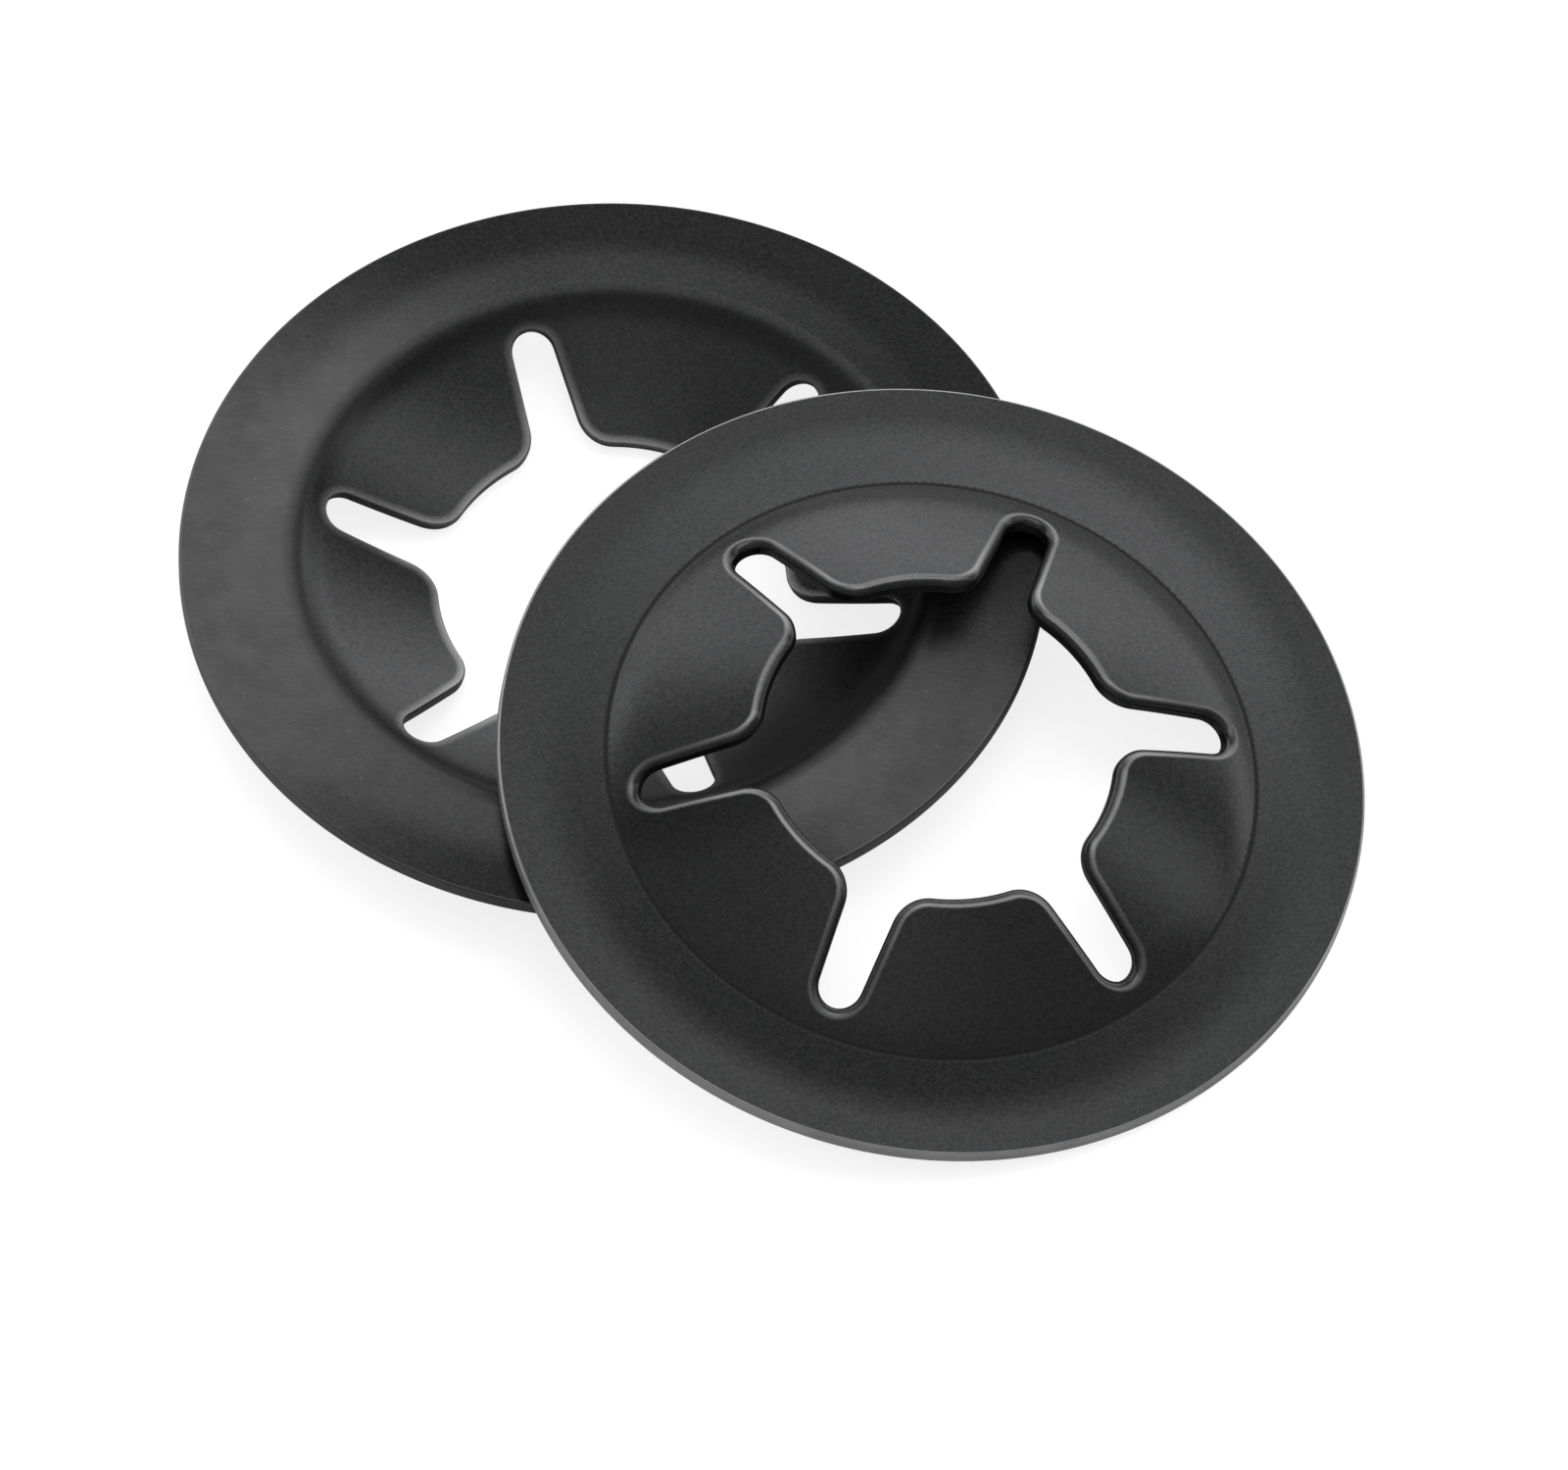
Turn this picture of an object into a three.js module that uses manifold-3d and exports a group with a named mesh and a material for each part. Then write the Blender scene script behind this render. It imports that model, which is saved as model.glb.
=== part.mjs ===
// A pair of star push-on washers: thin dished discs of spring steel with six fingers round a bore.
// The lower one lies face down on its fingertips and the upper one leans on it, fingers up.
// Millimetres, +Z up. The origin is on the floor, under the middle of the pair's box, and +X runs
// from the lower washer's centre to the upper one's. Each finger bends about a straight flexure line
// at its root, so it is cut from the rim there by a hair and stands as a body of its own.
import * as THREE from "three";
import { mergeVertices } from "three/addons/utils/BufferGeometryUtils.js";
import Module from "manifold-3d";

// The sheet
const THICKNESS = 0.35;
const OUTER_RADIUS = 9.5;
const LAND_RADIUS = 8.8; // outside it the brim is flat
const CREASE_RADIUS = 7.08;
const CREASE_HALF_WIDTH = 0.12;
const BRIM_PITCH = 6; // degrees, falling from the land to the crease
const SHOULDER_PITCH = 36; // degrees, the steep climb just inside the crease
const ROOT_RADIUS = 6.3;
const ROOT_PITCH = 24; // degrees, the fingers' climb at their roots
const TIP_PITCH = 18.5; // degrees, the fingers' climb at the bore

// The star-shaped opening
const FINGERS = 6;
const BORE_RADIUS = 3.87;
const SLOT_END_RADIUS = 6.5; // where a slot's round end stops
const SLOT_HALF_WIDTH = 0.48;
const SLOT_FLARE = 2.8; // degrees that each side of a slot opens towards the bore
const TIP_CORNER_RADIUS = 0.85;

// The flexure cut at each finger's root
const ROOT_DISTANCE = 5.45; // from the washer's axis to the straight cut
const ROOT_GAP = 0.1;
const FLEXURE_DISTANCE = 5.3; // from the washer's axis to the line that a finger bends about

// How the pair lies
const CENTRE_DISTANCE = 9.0;
const RESTING_GAP = 0.02;
const LOWER_TURN = 26.8; // degrees from +X to the middle of a slot, seen from above
const UPPER_TURN = 50;

// Facets
const ROUND_SEGMENTS = 60;
const ARC_DIVISIONS = 3;
const HEIGHT_STEPS = 400;
const TALL = 1.2; // half-height of a cutter about the sheet's middle

const radians = THREE.MathUtils.degToRad;
const sector = (2 * Math.PI) / FINGERS;

// The sheet's pitch, in degrees, changes evenly between these radii, from the rim inwards.
const PITCH_STATIONS = [
  [OUTER_RADIUS, 0],
  [LAND_RADIUS, 0],
  [(LAND_RADIUS + CREASE_RADIUS) / 2, BRIM_PITCH],
  [CREASE_RADIUS + CREASE_HALF_WIDTH, BRIM_PITCH],
  [CREASE_RADIUS - CREASE_HALF_WIDTH, -SHOULDER_PITCH],
  [ROOT_RADIUS, -ROOT_PITCH],
  [BORE_RADIUS, -TIP_PITCH],
];

function pitchAt(radius) {
  const inner = PITCH_STATIONS.findIndex(([at]) => at < radius);
  if (inner === 0) return PITCH_STATIONS[0][1];
  if (inner < 0) return PITCH_STATIONS.at(-1)[1];
  const [r0, p0] = PITCH_STATIONS[inner - 1];
  const [r1, p1] = PITCH_STATIONS[inner];
  return p0 + ((p1 - p0) * (r0 - radius)) / (r0 - r1);
}

// Height of the sheet's middle above the middle of the rim, with the fingers climbing upwards.
function heightAt(radius) {
  const step = (OUTER_RADIUS - radius) / HEIGHT_STEPS;
  let height = 0;
  for (let i = 0; i < HEIGHT_STEPS; i++) {
    height -= step * Math.tan(radians(pitchAt(OUTER_RADIUS - (i + 0.5) * step)));
  }
  return height;
}

// The radius and height of a point set off square to the sheet's middle.
function offSheet(radius, offset) {
  const pitch = radians(pitchAt(radius));
  return new THREE.Vector2(radius - offset * Math.sin(pitch), heightAt(radius) + offset * Math.cos(pitch));
}

const wasm = await Module();
wasm.setup();

function solidFrom(geometry) {
  geometry.deleteAttribute("normal");
  geometry.deleteAttribute("uv");
  const merged = mergeVertices(geometry);
  return new wasm.Manifold(
    new wasm.Mesh({
      numProp: 3,
      vertProperties: merged.getAttribute("position").array,
      triVerts: new Uint32Array(merged.index.array),
    }),
  );
}

function geometryFrom(solid) {
  const mesh = solid.getMesh();
  const geometry = new THREE.BufferGeometry();
  geometry.setAttribute("position", new THREE.BufferAttribute(mesh.vertProperties, 3));
  geometry.setIndex(new THREE.BufferAttribute(mesh.triVerts, 1));
  geometry.computeVertexNormals();
  return geometry;
}

// The dished disc before the opening is cut: the sheet's section turned about the washer's axis.
function dishedDisc() {
  const radii = [
    OUTER_RADIUS,
    LAND_RADIUS,
    (LAND_RADIUS + CREASE_RADIUS) / 2,
    CREASE_RADIUS + CREASE_HALF_WIDTH,
    CREASE_RADIUS,
    CREASE_RADIUS - CREASE_HALF_WIDTH,
    ROOT_RADIUS,
    (ROOT_RADIUS + BORE_RADIUS) / 2,
    BORE_RADIUS - TALL / 2,
  ];
  const top = radii.map((radius) => offSheet(radius, THICKNESS / 2));
  const bottom = radii.map((radius) => offSheet(radius, -THICKNESS / 2));
  const section = [...top, ...bottom.reverse(), top[0]];
  return new THREE.LatheGeometry(section, ROUND_SEGMENTS).rotateX(Math.PI / 2);
}

// One star-shaped outline: round-ended slots that open into the bore between round-cornered fingers.
function starShape() {
  const flare = radians(SLOT_FLARE);
  const endRadius = SLOT_END_RADIUS - SLOT_HALF_WIDTH;
  const across = new THREE.Vector2(Math.sin(flare), Math.cos(flare)); // square to a slot's side
  const along = new THREE.Vector2(Math.cos(flare), -Math.sin(flare));
  const sideOffset = endRadius * Math.sin(flare) + SLOT_HALF_WIDTH + TIP_CORNER_RADIUS;
  const reach = Math.sqrt((BORE_RADIUS + TIP_CORNER_RADIUS) ** 2 - sideOffset ** 2);
  const corner = across.multiplyScalar(sideOffset).add(along.multiplyScalar(reach));
  const cornerAngle = Math.atan2(corner.y, corner.x);
  const cornerDistance = corner.length();
  const quarter = Math.PI / 2;
  const shape = new THREE.Shape();
  const arc = (distance, bearing, radius, from, to, clockwise) =>
    shape.absarc(distance * Math.cos(bearing), distance * Math.sin(bearing), radius, from, to, clockwise);
  for (let k = 0; k < FINGERS; k++) {
    const turn = k * sector;
    const lower = turn - cornerAngle;
    const upper = turn + cornerAngle;
    arc(cornerDistance, lower, TIP_CORNER_RADIUS, lower + Math.PI, turn + quarter + flare, true);
    arc(endRadius, turn, SLOT_HALF_WIDTH, turn - quarter + flare, turn + quarter - flare, false);
    arc(cornerDistance, upper, TIP_CORNER_RADIUS, turn - quarter - flare, upper - Math.PI, true);
    arc(0, 0, BORE_RADIUS, upper, turn + sector - cornerAngle, false);
  }
  return shape;
}

// The star as a cutter whose walls stand square to the dished sheet, as blanked walls do after forming.
function starCutter() {
  const geometry = new THREE.ExtrudeGeometry(starShape(), {
    depth: 2 * TALL,
    bevelEnabled: false,
    curveSegments: ARC_DIVISIONS,
  }).translate(0, 0, -TALL);
  const position = geometry.getAttribute("position");
  for (let i = 0; i < position.count; i++) {
    const flat = new THREE.Vector2(position.getX(i), position.getY(i));
    const formed = offSheet(flat.length(), position.getZ(i));
    flat.setLength(formed.x);
    position.setXYZ(i, flat.x, flat.y, formed.y);
  }
  return geometry;
}

// The thin straight cut that frees one finger from the rim, from slot end to slot end.
function rootCutter(finger) {
  const bearing = (finger + 0.5) * sector;
  const length = 2 * ROOT_DISTANCE * Math.tan(sector / 2) * 0.95;
  return new THREE.BoxGeometry(ROOT_GAP, length, 4 * TALL)
    .translate(ROOT_DISTANCE, 0, 0)
    .rotateZ(bearing);
}

// A washer with its fingers up: its rim and its fingers, numbered round from the first slot.
function washerSolids() {
  let solid = solidFrom(dishedDisc()).subtract(solidFrom(starCutter()));
  for (let finger = 0; finger < FINGERS; finger++) {
    solid = solid.subtract(solidFrom(rootCutter(finger)));
  }
  const bodies = solid.decompose().sort((a, b) => b.volume() - a.volume());
  const [rim, ...fingers] = bodies;
  const bearing = (body) => {
    const { min, max } = body.boundingBox();
    return (Math.atan2(min[1] + max[1], min[0] + max[0]) + 2 * Math.PI) % (2 * Math.PI);
  };
  fingers.sort((a, b) => bearing(a) - bearing(b));
  return { rim, fingers };
}

function washer(name, colour) {
  const { rim, fingers } = washerSolids();
  const group = new THREE.Group();
  const add = (suffix, solid) => {
    const material = new THREE.MeshStandardMaterial({ color: colour, metalness: 0.85, roughness: 0.42 });
    const mesh = new THREE.Mesh(geometryFrom(solid), material);
    mesh.name = `${name}_washer_${suffix}`;
    group.add(mesh);
    return mesh;
  };
  add("rim", rim);
  fingers.forEach((finger, i) => {
    const bearing = (i + 0.5) * sector;
    const outwards = new THREE.Vector3(Math.cos(bearing), Math.sin(bearing), 0);
    const point = outwards.clone().multiplyScalar(FLEXURE_DISTANCE).setZ(heightAt(FLEXURE_DISTANCE));
    const axis = new THREE.Vector3(0, 0, 1).cross(outwards); // a positive turn lifts the fingertip
    add(`finger_${i + 1}`, finger).userData.flexure = { point, axis };
  });
  return group;
}

// The lower washer stands on its fingertips. The upper one leans on it: its low edge is on the floor,
// and the crest beside its crease lies across the lower one's rim at two points.
const tipRise = offSheet(BORE_RADIUS, THICKNESS / 2).y;
const crestRadius = CREASE_RADIUS + CREASE_HALF_WIDTH;
const crestStep = -offSheet(crestRadius, -THICKNESS / 2).y - THICKNESS / 2;
const touchDistance = (CENTRE_DISTANCE ** 2 + crestRadius ** 2 - OUTER_RADIUS ** 2) / (2 * CENTRE_DISTANCE);
const leanArm = OUTER_RADIUS + touchDistance;
const leanRise = tipRise + THICKNESS / 2 + RESTING_GAP;
const lean = Math.asin(leanRise / Math.hypot(leanArm, crestStep)) + Math.atan2(crestStep, leanArm);

const lower = washer("lower", 0x3f4041);
lower.rotation.set(Math.PI, 0, radians(LOWER_TURN), "ZYX");
lower.position.set(0, 0, tipRise);

const spun = washer("upper", 0x434445);
spun.rotation.z = radians(UPPER_TURN);
const upper = new THREE.Group().add(spun);
upper.rotation.y = lean;
upper.position.x = CENTRE_DISTANCE;
upper.position.z = OUTER_RADIUS * Math.sin(lean) + (THICKNESS / 2) * Math.cos(lean);

const pair = new THREE.Group().add(lower, upper);
pair.position.x = (OUTER_RADIUS - CENTRE_DISTANCE - OUTER_RADIUS * Math.cos(lean)) / 2;

export default pair;
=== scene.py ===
"""Two push-on star washers of black spring steel, one leaning on the other, on a pale floor.

Each washer is one dished sheet with a star-shaped opening. Its fingers are separate pieces that
meet the rim without a gap along a straight root, where a real finger bends. Lengths are in
millimetres until something is placed in the scene.
"""

import math

import bpy
import numpy as np
from mathutils import Matrix, Vector
from mathutils.geometry import delaunay_2d_cdt


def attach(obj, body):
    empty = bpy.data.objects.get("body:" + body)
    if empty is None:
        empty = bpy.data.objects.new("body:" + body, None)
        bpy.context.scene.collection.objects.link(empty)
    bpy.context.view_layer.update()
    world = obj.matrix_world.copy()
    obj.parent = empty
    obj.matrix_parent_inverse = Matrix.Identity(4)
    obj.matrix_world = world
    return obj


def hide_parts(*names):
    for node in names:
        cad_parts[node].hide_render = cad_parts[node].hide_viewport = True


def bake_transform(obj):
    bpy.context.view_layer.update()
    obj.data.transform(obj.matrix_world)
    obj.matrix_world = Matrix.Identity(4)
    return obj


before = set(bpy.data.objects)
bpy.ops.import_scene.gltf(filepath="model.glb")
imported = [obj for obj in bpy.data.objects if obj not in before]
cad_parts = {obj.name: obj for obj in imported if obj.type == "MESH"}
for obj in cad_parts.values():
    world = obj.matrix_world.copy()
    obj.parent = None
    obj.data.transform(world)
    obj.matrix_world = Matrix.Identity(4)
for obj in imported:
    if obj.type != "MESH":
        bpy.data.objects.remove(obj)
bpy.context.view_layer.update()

MM = 0.001

# ---------------------------------------------------------------- sizes that the CAD has too

THICKNESS = 0.35
OUTER_RADIUS = 9.5
LAND_RADIUS = 8.8  # outside it the brim is flat
CREASE_RADIUS = 7.08
CREASE_HALF_WIDTH = 0.12
ROOT_RADIUS = 6.3
BRIM_PITCH = 6.0  # degrees, falling from the land to the crease
SHOULDER_PITCH = 36.0  # degrees, the steep climb just inside the crease
ROOT_PITCH = 24.0  # degrees, the fingers' climb at their roots
TIP_PITCH = 18.5  # degrees, the fingers' climb at the bore

FINGERS = 6
SECTOR = 2 * math.pi / FINGERS
BORE_RADIUS = 3.87
SLOT_END_RADIUS = 6.5  # where a slot's round end stops
SLOT_HALF_WIDTH = 0.48
SLOT_FLARE = math.radians(2.8)  # each side of a slot opens this much towards the bore
TIP_CORNER_RADIUS = 0.85

CENTRE_DISTANCE = 9.0
RESTING_GAP = 0.02
LOWER_TURN = math.radians(26.8)
UPPER_TURN = math.radians(50)

# ---------------------------------------------------------------- sizes of the finer mesh

ROLL_WIDTH = 0.23  # where the punch entered, the opening's edge rolls over this far from the wall
ROLL_DEPTH = 0.16
RIM_ROUNDING = 0.06  # the rounding of the rim's edge on the same side
SHARP_EDGE = 0.055  # the rounding of every edge on the other side
SEAM_DISTANCE = 5.55  # from the axis to the line where a finger piece meets the rim piece

SIDE_STEP = 0.15  # the longest edges along the outlines and the seams
CORNER_STEP = 0.09
SLOT_END_STEP = 0.07
BORE_STEP = 0.12
SEAM_STEP = 0.22
RIM_POINTS = 300
RING_POINTS = 240
RING_STEP = 0.2
CREASE_RING_STEP = 0.06
FIRST_RING = BORE_RADIUS + 0.3
CREASE_RINGS = (6.6, 7.6)  # the radii between which the rings stand closer together
LAST_RING = OUTER_RADIUS - RIM_ROUNDING - 0.1
RING_CLEARANCE = 0.085  # how near a ring's point may come to an outline or a seam

EDGE_TURNS = [math.radians(degrees) for degrees in (0, 15, 30, 45, 60, 75, 90)]
# bare steel along the edges, partly wear and partly a painted highlight: a bright line where an opening's
# edge starts to roll, and a bright rim wall
EDGE_WEAR_AND_SHEEN = 0.8
STAR_WALL_WEAR_AND_SHEEN = 0.0
RIM_WALL_WEAR_AND_SHEEN = 1.0
ROLL_WEAR_AND_SHEEN_FADE = 2.2  # the larger it is, the nearer to the face the wear and painted highlight on a rolled edge end

SAME_POINT = 1e-6  # two outline points nearer to each other than this are one
MERGE_DISTANCE = 1e-7

# ---------------------------------------------------------------- the dished sheet

STATIONS = [
    (BORE_RADIUS, -TIP_PITCH),
    (ROOT_RADIUS, -ROOT_PITCH),
    (CREASE_RADIUS - CREASE_HALF_WIDTH, -SHOULDER_PITCH),
    (CREASE_RADIUS + CREASE_HALF_WIDTH, BRIM_PITCH),
    ((LAND_RADIUS + CREASE_RADIUS) / 2, BRIM_PITCH),
    (LAND_RADIUS, 0.0),
    (OUTER_RADIUS, 0.0),
]
STATION_RADII, STATION_PITCHES = np.array(STATIONS).T
TABLE_START = 3.0  # the heights are summed once, in a table from this radius out to the rim
TABLE_STEPS = 6500


def pitch_at(radius):
    """The sheet's slope in radians: how far its normal leans inwards."""
    return np.radians(np.interp(radius, STATION_RADII, STATION_PITCHES))


TABLE_RADII = np.linspace(TABLE_START, OUTER_RADIUS, TABLE_STEPS + 1)
TABLE_RISE = np.tan(pitch_at(TABLE_RADII))
TABLE_STEP = TABLE_RADII[1] - TABLE_RADII[0]
TABLE_HEIGHTS = np.concatenate([[0.0], np.cumsum((TABLE_RISE[1:] + TABLE_RISE[:-1]) / 2 * TABLE_STEP)])
TABLE_HEIGHTS -= TABLE_HEIGHTS[-1]


def height_at(radius):
    """Height of the sheet's middle above the middle of the rim, fingers up."""
    return np.interp(radius, TABLE_RADII, TABLE_HEIGHTS)


def on_sheet(points, offset):
    """Plan points, at an offset square to the sheet, as points in the washer's frame."""
    radius = np.hypot(points[:, 0], points[:, 1])
    pitch = pitch_at(radius)
    out = points / radius[:, None]
    reach = radius - offset * np.sin(pitch)
    height = height_at(radius) + offset * np.cos(pitch)
    return np.column_stack([out * reach[:, None], height])


def sheet_normals(points):
    """The normals of the sheet's upper face at plan points."""
    radius = np.hypot(points[:, 0], points[:, 1])
    pitch = pitch_at(radius)
    out = points / radius[:, None]
    return np.column_stack([-out * np.sin(pitch)[:, None], np.cos(pitch)])


def wall_normals(points, facing):
    """The normals of a wall that stands square to the sheet and faces `facing` in plan."""
    radius = np.hypot(points[:, 0], points[:, 1])
    pitch = pitch_at(radius)
    out = points / radius[:, None]
    climb = np.column_stack([out * np.cos(pitch)[:, None], np.sin(pitch)])
    around = np.column_stack([-out[:, 1], out[:, 0], np.zeros(len(points))])
    radial = (facing * out).sum(1)
    sideways = facing[:, 1] * out[:, 0] - facing[:, 0] * out[:, 1]
    made = climb * radial[:, None] + around * (sideways / np.cos(pitch))[:, None]
    return made / np.linalg.norm(made, axis=1)[:, None]


# ---------------------------------------------------------------- outlines in plan


def circle(count, offset=0.0):
    """Unit directions spaced evenly round a circle, turned on by a share of a step."""
    turns = (np.arange(count) + offset) * 2 * math.pi / count
    return np.column_stack([np.cos(turns), np.sin(turns)])


def between(start, end, step):
    """Evenly spaced points on the way from start to end, without the two."""
    lengths = math.ceil(np.linalg.norm(end - start) / step)
    return start + np.linspace(0, 1, lengths + 1)[1:-1, None] * (end - start)


def arc(centre, radius, start, end, clockwise, step):
    """Points round an arc, and the unit directions from its centre."""
    sweep = (start - end) % (2 * math.pi) if clockwise else (end - start) % (2 * math.pi)
    lengths = max(2, math.ceil(sweep * radius / step))
    turn = np.linspace(0, -sweep if clockwise else sweep, lengths + 1) + start
    away = np.column_stack([np.cos(turn), np.sin(turn)])
    return np.array(centre) + radius * away, away


def star_outline():
    """The opening's outline, anticlockwise, with the direction into the opening at each point."""
    end_radius = SLOT_END_RADIUS - SLOT_HALF_WIDTH
    side_offset = end_radius * math.sin(SLOT_FLARE) + SLOT_HALF_WIDTH + TIP_CORNER_RADIUS
    reach = math.sqrt((BORE_RADIUS + TIP_CORNER_RADIUS) ** 2 - side_offset**2)
    corner = side_offset * np.array([math.sin(SLOT_FLARE), math.cos(SLOT_FLARE)])
    corner = corner + reach * np.array([math.cos(SLOT_FLARE), -math.sin(SLOT_FLARE)])
    corner_turn = math.atan2(corner[1], corner[0])
    corner_reach = math.hypot(*corner)
    quarter = math.pi / 2

    def polar(distance, turn):
        return distance * math.cos(turn), distance * math.sin(turn)

    points, facing = [], []

    def add(run, sense):
        """Joins an arc to the outline by a straight side. A sense of 1 faces away from the arc's centre."""
        run_points, run_facing = run[0], sense * run[1]
        if points:
            last, last_facing = points[-1][-1], facing[-1][-1]
            if np.linalg.norm(run_points[0] - last) < SAME_POINT:
                run_points, run_facing = run_points[1:], run_facing[1:]
            else:
                side = between(last, run_points[0], SIDE_STEP)
                if len(side):
                    points.append(side)
                    facing.append(np.repeat(last_facing[None], len(side), 0))
        points.append(run_points)
        facing.append(run_facing)

    for slot in range(FINGERS):
        turn = slot * SECTOR
        low, high = turn - corner_turn, turn + corner_turn
        low_centre, high_centre = polar(corner_reach, low), polar(corner_reach, high)
        slot_centre = polar(end_radius, turn)
        rise, fall = turn + quarter - SLOT_FLARE, turn - quarter + SLOT_FLARE
        low_end, high_start = turn + quarter + SLOT_FLARE, turn - quarter - SLOT_FLARE
        add(arc(low_centre, TIP_CORNER_RADIUS, low + math.pi, low_end, True, CORNER_STEP), 1)
        add(arc(slot_centre, SLOT_HALF_WIDTH, fall, rise, False, SLOT_END_STEP), -1)
        add(arc(high_centre, TIP_CORNER_RADIUS, high_start, high - math.pi, True, CORNER_STEP), 1)
        add(arc((0, 0), BORE_RADIUS, high, turn + SECTOR - corner_turn, False, BORE_STEP), -1)
    points, facing = np.concatenate(points), np.concatenate(facing)
    if np.linalg.norm(points[0] - points[-1]) < SAME_POINT:
        points, facing = points[:-1], facing[:-1]
    return points, facing


def inside(outline, points):
    """Which plan points lie in a closed outline."""
    a, b = outline, np.roll(outline, -1, 0)
    x, y = points[:, 0][:, None], points[:, 1][:, None]
    spans = (a[:, 1] > y) != (b[:, 1] > y)
    rise = np.where(b[:, 1] == a[:, 1], 1.0, b[:, 1] - a[:, 1])
    crossing = (b[:, 0] - a[:, 0]) * (y - a[:, 1]) / rise + a[:, 0]
    return ((spans & (x < crossing)).sum(1) % 2).astype(bool)


def finger_axis(finger):
    """In plan, the direction from the washer's axis to the middle of a finger, and across it."""
    bearing = (finger + 0.5) * SECTOR
    return (
        np.array([math.cos(bearing), math.sin(bearing)]),
        np.array([-math.sin(bearing), math.cos(bearing)]),
    )


def seam_ends(star, finger):
    """The two outline points, one in the slot on each side of a finger, that its seam joins."""
    along, across = finger_axis(finger)
    reach, side = star @ along, star @ across
    in_sector = np.abs(side) < reach * math.tan(SECTOR / 2)
    first = min(np.flatnonzero(in_sector & (side < 0)), key=lambda i: abs(reach[i] - SEAM_DISTANCE))
    last = min(np.flatnonzero(in_sector & (side > 0)), key=lambda i: abs(reach[i] - SEAM_DISTANCE))
    return int(first), int(last)


# ---------------------------------------------------------------- the two faces


def ring_points(hole, fixed):
    """Rings of points outside the hole and clear of the fixed points, closer where the sheet bends."""
    radii = np.concatenate(
        [
            np.arange(FIRST_RING, CREASE_RINGS[0], RING_STEP),
            np.arange(*CREASE_RINGS, CREASE_RING_STEP),
            np.arange(CREASE_RINGS[1], LAST_RING, RING_STEP),
        ]
    )
    rings = np.concatenate([radius * circle(RING_POINTS, 0.5 * (i % 2)) for i, radius in enumerate(radii)])
    rings = rings[~inside(hole, rings)]
    gaps = [np.hypot(*(point - fixed).T).min() for point in rings]
    return rings[np.array(gaps) > RING_CLEARANCE]


def triangulated(fixed, edges, filler, hole):
    """The points in plan, their triangles outside the hole, and where each given point came out."""
    given = [Vector(point) for point in np.concatenate([fixed, filler])]
    made = delaunay_2d_cdt(given, edges, [], 0, MERGE_DISTANCE)
    plan = np.array([tuple(point) for point in made[0]])
    number = {source: i for i, sources in enumerate(made[3]) for source in sources}
    triangles = np.array([face for face in made[2] if len(face) == 3])
    triangles = triangles[~inside(hole, plan[triangles].mean(1))]
    a, b, c = (plan[triangles[:, i]] for i in range(3))
    clockwise = (b[:, 0] - a[:, 0]) * (c[:, 1] - a[:, 1]) < (b[:, 1] - a[:, 1]) * (c[:, 0] - a[:, 0])
    triangles[clockwise] = triangles[clockwise][:, ::-1]
    return plan, triangles, number


def piece_numbers(centres, seam_points):
    """For triangles with these centres: 0 outside the seams, and from 1 upwards in each finger."""
    pieces = np.zeros(len(centres), int)
    bearings = np.arctan2(centres[:, 1], centres[:, 0]) % (2 * math.pi)
    for finger, seam_point in enumerate(seam_points):
        along, _ = finger_axis(finger)
        in_sector = (bearings // SECTOR).astype(int) == finger
        pieces[in_sector & (centres @ along < seam_point @ along)] = finger + 1
    return pieces


# ---------------------------------------------------------------- one washer's mesh


class Skin:
    """A washer's points, added in runs, with what each one carries."""

    def __init__(self):
        self.runs = {"points": [], "normals": [], "sheet": [], "wear_and_sheen": []}
        self.count = 0

    def add(self, plan, offset, normals, wear_and_sheen):
        """Adds plan points at an offset from the sheet's middle, and gives their numbers."""
        self.runs["points"].append(on_sheet(plan, offset))
        self.runs["normals"].append(normals)
        self.runs["sheet"].append(np.column_stack([plan, np.full(len(plan), offset)]))
        self.runs["wear_and_sheen"].append(np.full(len(plan), wear_and_sheen))
        self.count += len(plan)
        return np.arange(self.count - len(plan), self.count)

    def joined(self):
        """Every run of each kind, joined into one array."""
        return {key: np.concatenate(runs) for key, runs in self.runs.items()}


def edge_layers(roll_width, roll_depth, edge_wear_and_sheen, wall_wear_and_sheen):
    """Down a wall, from face to face: (inset, offset, turn of the normal from the face's, wear and painted
    highlight).
    """
    half = THICKNESS / 2
    layers = []
    for t in EDGE_TURNS[1:]:
        turn = math.atan2(roll_depth * math.sin(t), roll_width * math.cos(t))
        # the rolled edge's share of bare steel: wear, and a painted highlight along the start of the roll
        rubbed_and_sheen = max(0.0, math.cos(ROLL_WEAR_AND_SHEEN_FADE * t))
        wear_and_sheen = wall_wear_and_sheen + (edge_wear_and_sheen - wall_wear_and_sheen) * rubbed_and_sheen
        layers.append((roll_width * (1 - math.sin(t)), half - roll_depth * (1 - math.cos(t)), turn, wear_and_sheen))
    for t in reversed(EDGE_TURNS):
        wear_and_sheen = wall_wear_and_sheen + (edge_wear_and_sheen - wall_wear_and_sheen) * math.cos(t)
        offset = SHARP_EDGE * (1 - math.cos(t)) - half
        layers.append((SHARP_EDGE * (1 - math.sin(t)), offset, math.pi - t, wear_and_sheen))
    return layers


def wall_rows(skin, outline, facing, layers, top, bottom):
    """Adds a wall's points to the skin. Its rows of point numbers run from the top face to the bottom."""
    up = sheet_normals(outline)
    outwards = wall_normals(outline, facing)
    rows = [top]
    for inset, offset, turn, wear_and_sheen in layers:
        normals = up * math.cos(turn) + outwards * math.sin(turn)
        rows.append(skin.add(outline - facing * inset, offset, normals, wear_and_sheen))
    return np.array([*rows, bottom])


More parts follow.
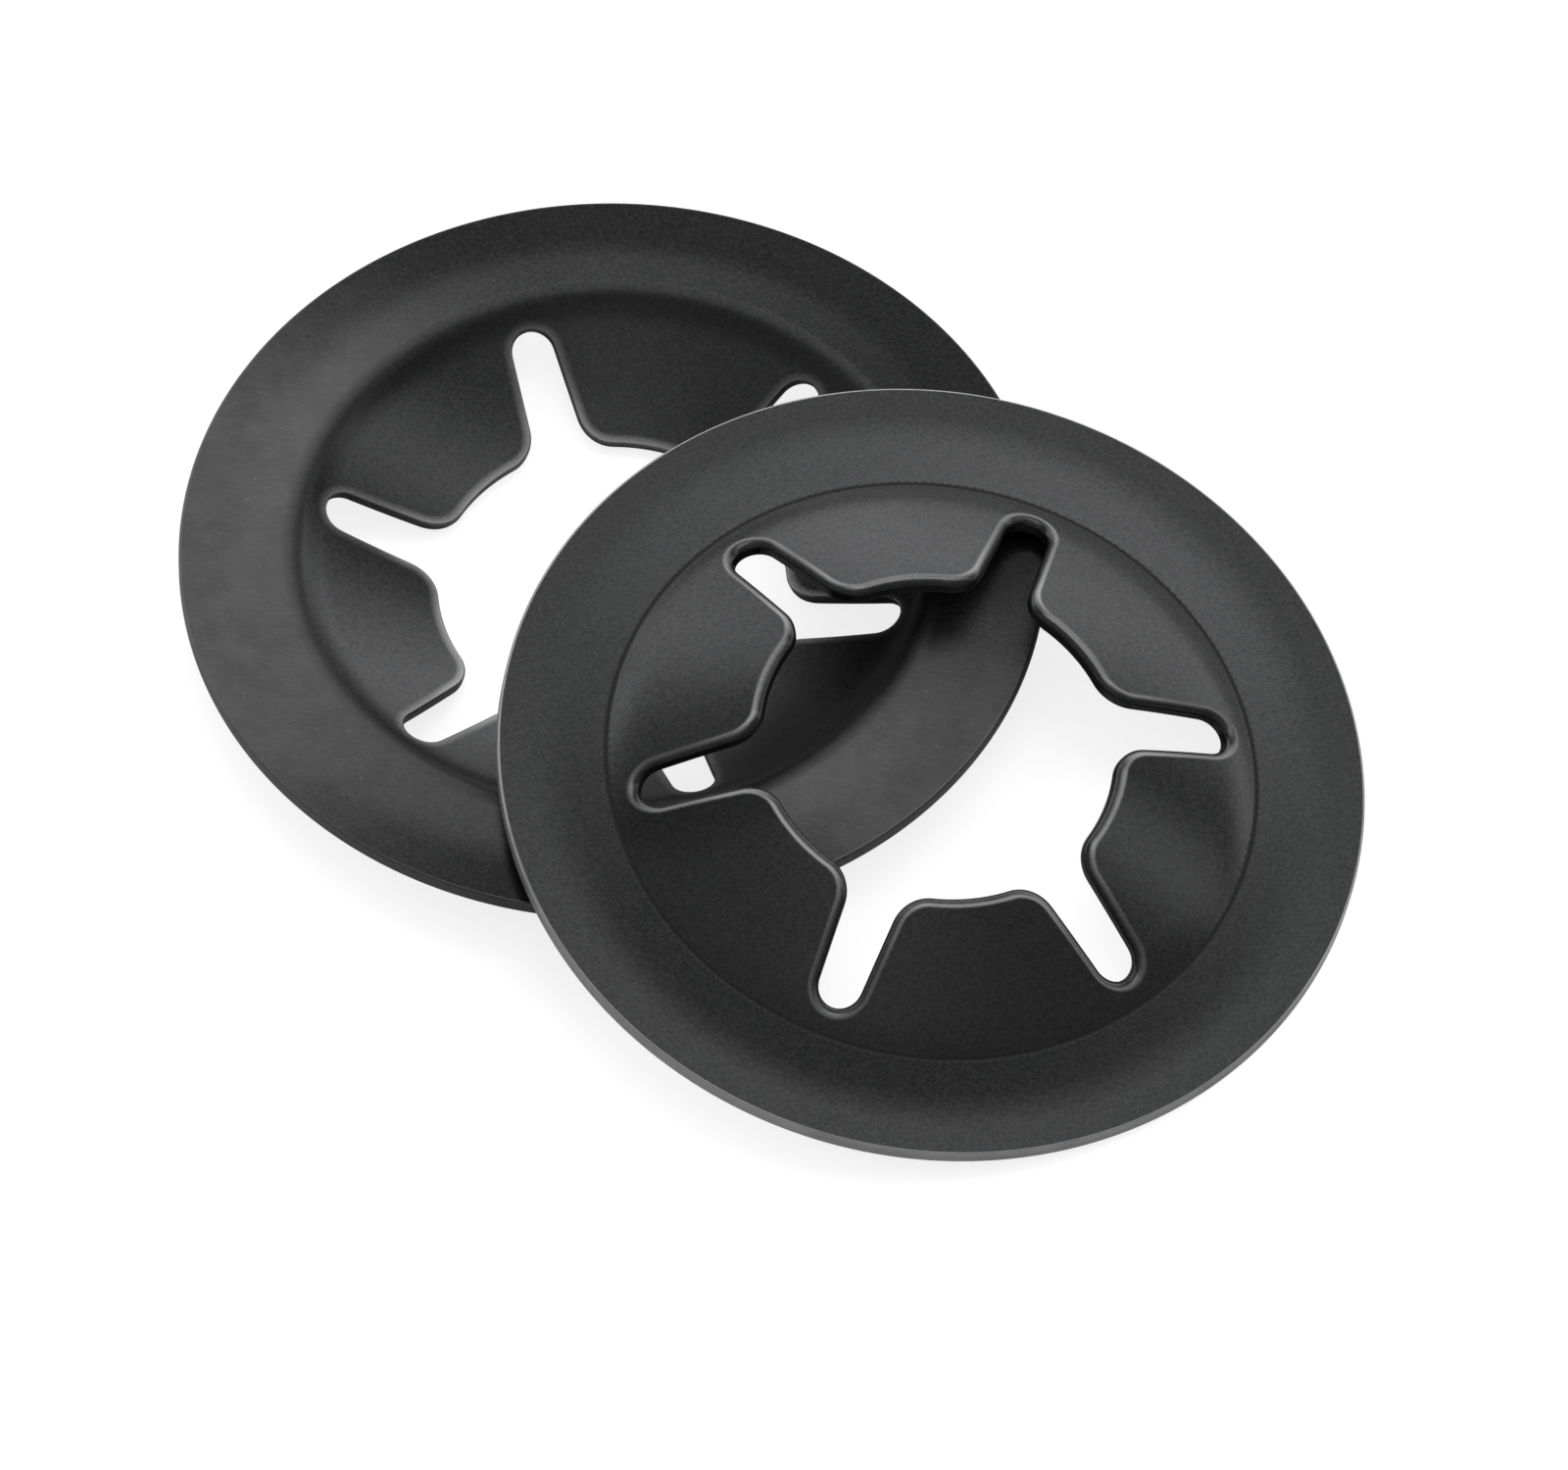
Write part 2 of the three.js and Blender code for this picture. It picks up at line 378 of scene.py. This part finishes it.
def wall_faces(rows, at, flip):
    """The faces down a wall between one of its outline's points and the next."""
    here, there = rows[:, at].tolist(), rows[:, (at + 1) % rows.shape[1]].tolist()
    quads = list(zip(here[:-1], here[1:], there[1:], there[:-1]))
    return [quad[::-1] for quad in quads] if flip else quads


def seam_caps(top, bottom, columns):
    """The hidden faces along a seam, turned to close the rim piece."""
    caps = list(zip(top[:-1], top[1:], bottom[1:], bottom[:-1]))
    return [*caps, tuple(columns[0][::-1]), tuple(columns[1])]


def washer_mesh():
    """A washer with its fingers up: what its points carry, and each piece's faces and hidden caps.

    Piece 0 is the rim and pieces 1 to 6 are the fingers.
    """
    star, star_facing = star_outline()
    rim_facing = circle(RIM_POINTS)
    rim = OUTER_RADIUS * rim_facing
    star_inset = star - star_facing * ROLL_WIDTH
    rim_inset = rim - rim_facing * RIM_ROUNDING

    ends = [seam_ends(star, finger) for finger in range(FINGERS)]
    middles = [between(star_inset[first], star_inset[last], SEAM_STEP) for first, last in ends]
    fixed = np.concatenate([star_inset, rim_inset, *middles])
    edges = [(i, (i + 1) % len(star)) for i in range(len(star))]
    edges += [(len(star) + i, len(star) + (i + 1) % RIM_POINTS) for i in range(RIM_POINTS)]
    chains = []
    at = len(star) + RIM_POINTS
    for (first, last), middle in zip(ends, middles):
        chains.append([first, *range(at, at + len(middle)), last])
        at += len(middle)
        edges += zip(chains[-1][:-1], chains[-1][1:])

    plan, triangles, number = triangulated(fixed, edges, ring_points(star_inset, fixed), star_inset)
    pieces = piece_numbers(plan[triangles].mean(1), star_inset[[first for first, _ in ends]])
    skin = Skin()
    up = sheet_normals(plan)
    top = skin.add(plan, THICKNESS / 2, up, 0.0)
    bottom = skin.add(plan, -THICKNESS / 2, -up, 0.0)
    faces = [[] for _ in range(FINGERS + 1)]
    for triangle, piece in zip(triangles, pieces):
        faces[piece].append(tuple(top[triangle].tolist()))
        faces[piece].append(tuple(bottom[triangle[::-1]].tolist()))

    star_layers = edge_layers(ROLL_WIDTH, ROLL_DEPTH, EDGE_WEAR_AND_SHEEN, STAR_WALL_WEAR_AND_SHEEN)
    rim_layers = edge_layers(RIM_ROUNDING, RIM_ROUNDING, EDGE_WEAR_AND_SHEEN, RIM_WALL_WEAR_AND_SHEEN)
    star_points = np.array([number[i] for i in range(len(star))])
    rim_points = np.array([number[len(star) + i] for i in range(RIM_POINTS)])
    star_rows = wall_rows(skin, star, star_facing, star_layers, top[star_points], bottom[star_points])
    rim_rows = wall_rows(skin, rim, rim_facing, rim_layers, top[rim_points], bottom[rim_points])
    owner = np.zeros(len(star), int)
    for finger, (first, last) in enumerate(ends):
        run = np.arange((last - first) % len(star))
        owner[(first + run) % len(star)] = finger + 1
    for i in range(len(star)):
        faces[owner[i]] += wall_faces(star_rows, i, True)
    for i in range(RIM_POINTS):
        faces[0] += wall_faces(rim_rows, i, False)

    caps = [[] for _ in range(FINGERS + 1)]
    for finger, chain in enumerate(chains):
        chain_points = [number[i] for i in chain]
        columns = [star_rows[:, end].tolist() for end in (chain[0], chain[-1])]
        closing = seam_caps(top[chain_points].tolist(), bottom[chain_points].tolist(), columns)
        caps[0] += closing
        caps[finger + 1] += [cap[::-1] for cap in closing]
    return skin.joined(), faces, caps


def piece_object(name, skin, faces, caps, placing, shift):
    """One piece of a washer as an object in the row frame, with its exact normals."""
    used = sorted({point for face in faces for point in face})
    number = {point: i for i, point in enumerate(used)}
    seen = [tuple(number[point] for point in face) for face in faces]
    hidden = [tuple(number[point] for point in face) for face in caps]
    turn = np.array(placing.to_3x3())
    points = skin["points"][used] @ turn.T + np.array(placing.translation)
    normals = skin["normals"][used] @ turn.T
    mesh = bpy.data.meshes.new(name)
    mesh.from_pydata((points * MM).tolist(), [], seen + hidden)
    mesh.update()
    mesh.polygons.foreach_set("use_smooth", [True] * len(seen) + [False] * len(hidden))
    corner_normals = [tuple(normals[point]) for face in seen for point in face]
    for polygon in list(mesh.polygons)[len(seen) :]:
        corner_normals += [tuple(polygon.normal)] * len(polygon.vertices)
    mesh.normals_split_custom_set(corner_normals)
    sheet = mesh.attributes.new("sheet", "FLOAT_VECTOR", "POINT")
    sheet.data.foreach_set("vector", (skin["sheet"][used] + np.array(shift)).ravel())
    # what each point carries of edge wear and painted highlight
    wear_and_sheen = mesh.attributes.new("wear_and_sheen", "FLOAT", "POINT")
    wear_and_sheen.data.foreach_set("value", skin["wear_and_sheen"][used])
    made = bpy.data.objects.new(name, mesh)
    bpy.context.scene.collection.objects.link(made)
    return made


# ---------------------------------------------------------------- the black steel


class Nodes:
    """A short way to write a node tree."""

    def __init__(self, tree):
        self.tree = tree
        tree.nodes.clear()

    def put(self, socket, value):
        """Links a socket to a socket, or sets its value."""
        if isinstance(value, bpy.types.NodeSocket):
            self.tree.links.new(value, socket)
        else:
            socket.default_value = value

    def add(self, kind, inputs=None, **settings):
        node = self.tree.nodes.new(kind)
        for key, value in settings.items():
            setattr(node, key, value)
        for key, value in (inputs or {}).items():
            self.put(node.inputs[key], value)
        return node

    def maths(self, operation, a, b=0.0, clamp=False):
        node = self.add("ShaderNodeMath", {0: a, 1: b}, operation=operation, use_clamp=clamp)
        return node.outputs[0]

    def times(self, a, b):
        return self.maths("MULTIPLY", a, b)

    def span(self, value, low, high, to_low=0.0, to_high=1.0):
        """A value carried smoothly from one range to another, held at both ends."""
        inputs = {"Value": value, "From Min": low, "From Max": high, "To Min": to_low, "To Max": to_high}
        node = self.add("ShaderNodeMapRange", inputs, interpolation_type="SMOOTHSTEP")
        return node.outputs["Result"]

    def band(self, value, rise, fall):
        """1 where the value lies between two ramps, each given by its ends, and 0 outside them."""
        return self.times(self.span(value, *rise), self.span(value, *fall, 1.0, 0.0))

    def noise(self, vector, scale, detail, rough):
        inputs = {"Vector": vector, "Scale": scale, "Detail": detail, "Roughness": rough}
        return self.add("ShaderNodeTexNoise", inputs).outputs["Fac"]

    def vector(self, operation, a, b=None):
        inputs = {0: a} if b is None else {0: a, 1: b}
        node = self.add("ShaderNodeVectorMath", inputs, operation=operation)
        return node.outputs["Vector" if operation == "SUBTRACT" else "Value"]

    def mix(self, share, a, b):
        node = self.add("ShaderNodeMix", {"Factor": share}, data_type="RGBA")
        self.put(node.inputs[6], a)
        self.put(node.inputs[7], b)
        return node.outputs[2]


# the finish's colours, from the darkest to the palest
# painted shade, for the crease and the crest's inner flank
CREASE_SHADE = (0.014, 0.014, 0.015, 1)
OXIDE_DARK = (0.045, 0.046, 0.048, 1)
OXIDE = (0.053, 0.054, 0.056, 1)
OXIDE_GRAIN = (0.092, 0.093, 0.095, 1)
# partly real haze, partly a painted highlight and painted light
HAZE_AND_SHEEN = (0.21, 0.21, 0.212, 1)
SCUFF = (0.36, 0.36, 0.365, 1)
# bare steel, partly wear and partly a painted highlight
BARE_STEEL_AND_SHEEN = (0.66, 0.66, 0.67, 1)

# the noises on the sheet: the scale, the detail and the roughness of each, and the part that is used
GRAIN = (13.0, 4.0, 0.9)
GRAIN_RANGE = (0.34, 0.66)
GRAIN_DEPTH = 0.01 * MM
GRAIN_STRENGTH = 0.2
MOTTLE = (0.45, 4.0, 0.6)
CLOUD = (1.1, 5.0, 0.7)
SLOW_RANGE = (0.3, 0.7)

# the haze, partly real and partly a painted highlight and painted light on the lower washer's brim
HAZE_AND_SHEEN_CORE = 0.3  # the share of its spread in which it is full
HAZE_AND_SHEEN_CLOUDS = (0.72, 1.0)  # its strength between its clouds and in them
BRIM_START = (-0.18, 0.17)  # it begins over these distances outwards from the crease

# the streaks and the specks
STREAKS = ((0.5, 3.1), (1.9, 17.4), (2.6, 29.8))  # each one's direction, and its place in the noise
STREAK_SHAPE = (2.2, 16.0, 1.0)
STREAK = (1.3, 2.0, 0.5)
STREAK_RANGE = (0.56, 0.80)
STREAK_STRENGTH = 0.45
SPECK_SCALE = 3.6
SPECK_SIZE = (0.06, 0.16)
SPECK_DRAW = (0.74, 0.88)  # a cell's speck fades in as its random draw passes from one to the other
MARKS_OUTSIDE_HAZE_AND_SHEEN = 0.04

# where the bend changed the finish and where painted shade lies, each by its two ramps, measured outwards
# from the crease
CREST = ((-0.23, -0.08), (0.02, 0.27))
SHOULDER = ((-0.68, -0.28), (-0.08, 0.04))
VALLEY = ((-0.13, -0.03), (0.06, 0.16))
FACE_FADE = 0.15  # from the sheet's middle to where one face's own finish is full

# the wear and painted highlight of the edges: the radii where they pass from the fingertips' to the slots'
# ends', and to the rim's
OPENING_FADE = (4.3, 5.6)
RIM_FADE = (8.0, 9.0)
SLOT_END_SHARE = 0.5
WEAR_AND_SHEEN_MOTTLE = (0.3, 0.65)
WEAR_AND_SHEEN_PATCHES = (0.75, 1.0)

# how much each thing changes the colour and the roughness
HAZE_AND_SHEEN_COLOUR = 0.75
MARKS_COLOUR = 0.5
VALLEY_SHADE = 0.6
SHOULDER_SHADE = 0.4
GRAIN_ROUGHNESS = (0.17, 0.23)
HAZE_AND_SHEEN_ROUGHNESS = 0.2
BEND_ROUGHNESS = 0.3
BARE_AND_SHEEN_ROUGHNESS = 0.25


def scuffs(t, place):
    """Fine streaks and pale specks, from 0 to 1."""
    streaks = 0.0
    for turn, seed in STREAKS:
        inputs = {
            "Vector": place,
            "Location": (seed, -seed, 0),
            "Rotation": (0, 0, turn),
            "Scale": STREAK_SHAPE,
        }
        stretched = t.add("ShaderNodeMapping", inputs).outputs["Vector"]
        streaks = t.maths("MAXIMUM", streaks, t.span(t.noise(stretched, *STREAK), *STREAK_RANGE))
    inputs = {"Vector": place, "Scale": SPECK_SCALE, "Randomness": 1.0}
    cells = t.add("ShaderNodeTexVoronoi", inputs, feature="F1")
    draw = t.add("ShaderNodeSeparateColor", {"Color": cells.outputs["Color"]}).outputs[0]
    specks = t.span(cells.outputs["Distance"], *SPECK_SIZE, 1.0, 0.0)
    specks = t.times(specks, t.span(draw, *SPECK_DRAW))
    return t.maths("MAXIMUM", t.times(streaks, STREAK_STRENGTH), specks)


def steel(name, shift, rubbed_and_sheen, slot_wear_and_sheen, rim_wear_and_sheen):
    """Black oxide on spring steel: satin, fine-grained, worn bare along the edges, hazy where it was rubbed.
    A painted highlight lies along the edges and in the haze, painted light in the haze on the lower washer,
    and painted shade in the crease.

    Each entry of the list of haze spots is a place on the sheet, how far its haze and painted light spread,
    and its strength.
    """
    material = bpy.data.materials.new(name)
    material.use_nodes = True
    t = Nodes(material.node_tree)
    place = t.add("ShaderNodeAttribute", attribute_name="sheet").outputs["Vector"]
    worn_and_sheen = t.add("ShaderNodeAttribute", attribute_name="wear_and_sheen").outputs["Fac"]
    own = t.vector("SUBTRACT", place, shift)
    radius = t.vector("LENGTH", own)
    past_crease = t.maths("SUBTRACT", radius, CREASE_RADIUS)
    side = t.add("ShaderNodeSeparateXYZ", {"Vector": own}).outputs["Z"]
    fingers_side = t.span(side, 0.0, FACE_FADE)
    other_side = t.span(side, -FACE_FADE, 0.0, 1.0, 0.0)

    grain = t.noise(place, *GRAIN)
    mottle = t.noise(place, *MOTTLE)
    cloud = t.noise(place, *CLOUD)

    # the haze: on the lower washer, a painted highlight on its left brim and painted light on its brim in
    # the upper washer's shadow, over partly real haze
    hazy_and_sheen = 0.0
    for centre, spread, strength in rubbed_and_sheen:
        gap = t.vector("DISTANCE", own, centre)
        hazy_and_sheen = t.maths("MAXIMUM", hazy_and_sheen, t.span(gap, HAZE_AND_SHEEN_CORE * spread, spread, strength, 0.0))
    hazy_and_sheen = t.times(hazy_and_sheen, t.span(past_crease, *BRIM_START))
    hazy_and_sheen = t.times(hazy_and_sheen, t.span(cloud, *SLOW_RANGE, *HAZE_AND_SHEEN_CLOUDS))
    marks = t.times(scuffs(t, place), t.maths("MAXIMUM", hazy_and_sheen, MARKS_OUTSIDE_HAZE_AND_SHEEN))

    # an edge is rubbed bare and painted with a highlight, more so on the fingertips than at the slots' ends
    opening_wear_and_sheen = t.span(radius, *OPENING_FADE, slot_wear_and_sheen, SLOT_END_SHARE * slot_wear_and_sheen)
    bare_and_sheen = t.times(worn_and_sheen, t.span(radius, *RIM_FADE, opening_wear_and_sheen, rim_wear_and_sheen))
    bare_and_sheen = t.times(bare_and_sheen, t.span(mottle, *WEAR_AND_SHEEN_MOTTLE, *WEAR_AND_SHEEN_PATCHES))

    # where the bend stretched it, the finish is duller along the crest, on the side away from the fingers,
    # and down in the crease on the other side; painted shade darkens the crease and the crest's inner flank
    crest = t.times(t.band(past_crease, *CREST), other_side)
    shoulder = t.times(t.band(past_crease, *SHOULDER), other_side)
    valley = t.times(t.band(past_crease, *VALLEY), fingers_side)
    # painted shade: dark in the crease and on the crest's inner flank
    painted_shade = t.maths("MAXIMUM", t.times(valley, VALLEY_SHADE), t.times(shoulder, SHOULDER_SHADE))

    colour = t.mix(t.span(mottle, *SLOW_RANGE), OXIDE_DARK, OXIDE)
    colour = t.mix(t.span(grain, *GRAIN_RANGE), colour, OXIDE_GRAIN)
    # where the haze lies: partly real haze, partly a painted highlight and painted light
    colour = t.mix(t.times(hazy_and_sheen, HAZE_AND_SHEEN_COLOUR), colour, HAZE_AND_SHEEN)
    colour = t.mix(t.times(marks, MARKS_COLOUR), colour, SCUFF)
    # bare steel along the edges, partly wear and partly a painted highlight
    colour = t.mix(bare_and_sheen, colour, BARE_STEEL_AND_SHEEN)
    # the painted shade in the crease and on the crest's inner flank
    colour = t.mix(painted_shade, colour, CREASE_SHADE)

    bent = t.maths("MAXIMUM", crest, valley)
    rough = t.span(grain, *GRAIN_RANGE, *GRAIN_ROUGHNESS)
    rough = t.maths("ADD", rough, t.times(hazy_and_sheen, HAZE_AND_SHEEN_ROUGHNESS))
    rough = t.maths("ADD", rough, t.times(bent, BEND_ROUGHNESS))
    rough = t.maths("ADD", rough, t.times(bare_and_sheen, BARE_AND_SHEEN_ROUGHNESS), clamp=True)
    inputs = {"Height": grain, "Strength": GRAIN_STRENGTH, "Distance": GRAIN_DEPTH}
    bump = t.add("ShaderNodeBump", inputs)

    shader = t.add(
        "ShaderNodeBsdfPrincipled",
        {"Base Color": colour, "Roughness": rough, "Metallic": 0.8, "Normal": bump.outputs["Normal"]},
    )
    t.add("ShaderNodeOutputMaterial", {"Surface": shader.outputs["BSDF"]})
    return material


# ---------------------------------------------------------------- the two washers in place

# The lower one stands on its fingertips. The upper one's low edge is on the floor, and the crest beside
# its crease lies across the lower one's rim at two points.
tip_rise = float(on_sheet(np.array([[BORE_RADIUS, 0.0]]), THICKNESS / 2)[0, 2])
crest_radius = CREASE_RADIUS + CREASE_HALF_WIDTH
crest_height = float(on_sheet(np.array([[crest_radius, 0.0]]), -THICKNESS / 2)[0, 2])
crest_step = -crest_height - THICKNESS / 2
touch = (CENTRE_DISTANCE**2 + crest_radius**2 - OUTER_RADIUS**2) / (2 * CENTRE_DISTANCE)
lean_arm = OUTER_RADIUS + touch
lean_rise = tip_rise + THICKNESS / 2 + RESTING_GAP
lean = math.asin(lean_rise / math.hypot(lean_arm, crest_step)) + math.atan2(crest_step, lean_arm)
shift_x = (OUTER_RADIUS - CENTRE_DISTANCE - OUTER_RADIUS * math.cos(lean)) / 2

lower_place = (
    Matrix.Translation((shift_x, 0, tip_rise))
    @ Matrix.Rotation(LOWER_TURN, 4, "Z")
    @ Matrix.Rotation(math.pi, 4, "X")
)
upper_height = OUTER_RADIUS * math.sin(lean) + THICKNESS / 2 * math.cos(lean)
upper_place = (
    Matrix.Translation((shift_x + CENTRE_DISTANCE, 0, upper_height))
    @ Matrix.Rotation(lean, 4, "Y")
    @ Matrix.Rotation(UPPER_TURN, 4, "Z")
)

# each washer's name, its place, its shift in the noise, where its haze and painted light lie, and how worn
# the edges of its opening and of its rim are, with the painted highlight on them
# on the lower washer, a painted highlight on its left brim and painted light on its brim in the upper
# washer's shadow
LOWER_HAZE_AND_SHEEN = (((-7.95, 2.35, -0.2), 10.5, 1.0), ((7.4, 3.7, -0.2), 6.0, 0.8))
UPPER_HAZE_AND_SHEEN = (((2.0, 8.6, 0.2), 10.5, 0.05),)
WASHERS = (
    ("lower", lower_place, (40.0, 0.0, 0.0), LOWER_HAZE_AND_SHEEN, 0.7, 0.1),
    ("upper", upper_place, (0.0, 60.0, 0.0), UPPER_HAZE_AND_SHEEN, 0.9, 1.0),
)

skin, faces, caps = washer_mesh()
for washer, placing, shift, rubbed_and_sheen, slot_wear_and_sheen, rim_wear_and_sheen in WASHERS:
    finish = steel(f"black_steel_{washer}", shift, rubbed_and_sheen, slot_wear_and_sheen, rim_wear_and_sheen)
    rim_body = f"{washer}_washer_rim"
    for piece in range(FINGERS + 1):
        node = rim_body if piece == 0 else f"{washer}_washer_finger_{piece}"
        made = piece_object(f"{node}_steel", skin, faces[piece], caps[piece], placing, shift)
        made.data.materials.append(finish)
        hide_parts(node)
        if piece == 0:
            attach(made, rim_body)
            continue
        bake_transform(made)

# ---------------------------------------------------------------- the floor

FLOOR_HALF = 1500  # from the middle to each side
FLOOR_DROP = 0.02  # under the washers, so that nothing lies in its plane

corners = [Vector((x, y, 0)) * FLOOR_HALF * MM for x, y in ((-1, -1), (1, -1), (1, 1), (-1, 1))]
floor_mesh = bpy.data.meshes.new("floor")
floor_mesh.from_pydata(corners, [], [(0, 1, 2, 3)])
floor = bpy.data.objects.new("floor", floor_mesh)
bpy.context.scene.collection.objects.link(floor)
floor.location.z = -FLOOR_DROP * MM
paper = bpy.data.materials.new("floor_paper")
paper.use_nodes = True
t = Nodes(paper.node_tree)
seen = t.add("ShaderNodeLightPath").outputs["Is Camera Ray"]
shader = t.add(
    "ShaderNodeBsdfPrincipled",
    {
        "Base Color": (0.86, 0.86, 0.86, 1),
        "Roughness": 0.9,
        "Specular IOR Level": 0.1,
        "Emission Color": (1, 1, 1, 1),
        "Emission Strength": t.times(seen, 0.8),  # lifts what the camera sees, and lights nothing
    },
)
t.add("ShaderNodeOutputMaterial", {"Surface": shader.outputs["BSDF"]})
floor_mesh.materials.append(paper)

# ---------------------------------------------------------------- the light

CAMERA_BEARING = math.radians(-51.6)
# level, from the camera to the object
away = Vector((-math.cos(CAMERA_BEARING), -math.sin(CAMERA_BEARING), 0))
left = Vector((-away.y, away.x, 0))

# A studio sky in three sectors, as the camera sees them. Each lists its brightness at these angles,
# which run from the far horizon over the top. The middle and the right have one softbox low down and
# another above a dim gap. The left has one, which reaches higher. It is dim behind the camera.
SKY_DEGREES = (9, 22, 34, 45, 56, 67, 77, 90, 135, 166)
SKY = {
    "left": (0.15, 1.1, 1.1, 1.35, 0.35, 0.3, 0.05, 0.3, 0.22, 0.1),
    "middle": (0.5, 1.8, 1.35, 0.15, 0.12, 0.85, 1.9, 0.45, 0.25, 0.2),
    "right": (0.5, 1.5, 1.15, 0.3, 0.05, 0.8, 1.0, 0.2, 0.2, 0.1),
}
LEFT_EDGE = (0.02, 0.3)  # where the middle gives way to a side, as cosines from the camera's left
RIGHT_EDGE = (-0.5, -0.05)
BACKDROP = 0.85  # what the camera sees behind the floor

world = bpy.data.worlds.new("studio")
bpy.context.scene.world = world
world.use_nodes = True
t = Nodes(world.node_tree)
direction = t.add("ShaderNodeTexCoord").outputs["Generated"]
forward = t.vector("DOT_PRODUCT", direction, away)
aside = t.vector("DOT_PRODUCT", direction, left)
climb = t.add("ShaderNodeSeparateXYZ", {"Vector": direction}).outputs["Z"]
turn = t.maths("DIVIDE", t.maths("ARCTAN2", climb, forward), math.pi)
sectors = {}
for sector, levels in SKY.items():
    ramp = t.add("ShaderNodeValToRGB", {"Fac": turn})
    stops = ramp.color_ramp.elements
    while len(stops) < len(levels):
        stops.new(0.5)
    for stop, degrees, level in zip(stops, SKY_DEGREES, levels):
        stop.position = degrees / 180
        stop.color = (level, level, level, 1)
    sectors[sector] = ramp.outputs["Color"]
sky_colour = t.mix(t.span(aside, *LEFT_EDGE), sectors["middle"], sectors["left"])
sky_colour = t.mix(t.span(aside, *RIGHT_EDGE, 1.0, 0.0), sky_colour, sectors["right"])
seen = t.add("ShaderNodeLightPath").outputs["Is Camera Ray"]
sky_colour = t.mix(seen, sky_colour, (BACKDROP, BACKDROP, BACKDROP, 1))
sky = t.add("ShaderNodeBackground", {"Color": sky_colour, "Strength": 1.0})
t.add("ShaderNodeOutputWorld", {"Surface": sky.outputs["Background"]})

# ---------------------------------------------------------------- the camera

CAMERA_ELEVATION = math.radians(55.3)
CAMERA_ROLL = math.radians(1.35)
CAMERA_DISTANCE = 394.25
LENS = 413.558
SENSOR_WIDTH = 36.0
AIM_RIGHT = 3.7468  # the camera aims this far right of the middle of the lower washer's rim
AIM_DOWN = 3.9074  # and this far below it, both in the picture's plane

look = away * math.cos(CAMERA_ELEVATION) - Vector((0, 0, math.sin(CAMERA_ELEVATION)))
right = look.cross(Vector((0, 0, 1))).normalized()
up = right.cross(look).normalized()
rolled_right = right * math.cos(CAMERA_ROLL) + up * math.sin(CAMERA_ROLL)
rolled_up = rolled_right.cross(look).normalized()
aim = Vector((shift_x, 0, tip_rise)) + rolled_right * AIM_RIGHT - rolled_up * AIM_DOWN
data = bpy.data.cameras.new("camera")
data.sensor_width = SENSOR_WIDTH
data.lens = LENS
data.dof.use_dof = False
data.clip_start, data.clip_end = 0.01, 10.0
camera = bpy.data.objects.new("camera", data)
bpy.context.scene.collection.objects.link(camera)
facing = Matrix((rolled_right, rolled_up, -look)).transposed()
camera.matrix_world = Matrix.Translation((aim - look * CAMERA_DISTANCE) * MM) @ facing.to_4x4()
bpy.context.scene.camera = camera

bpy.context.scene.view_settings.view_transform = "Standard"
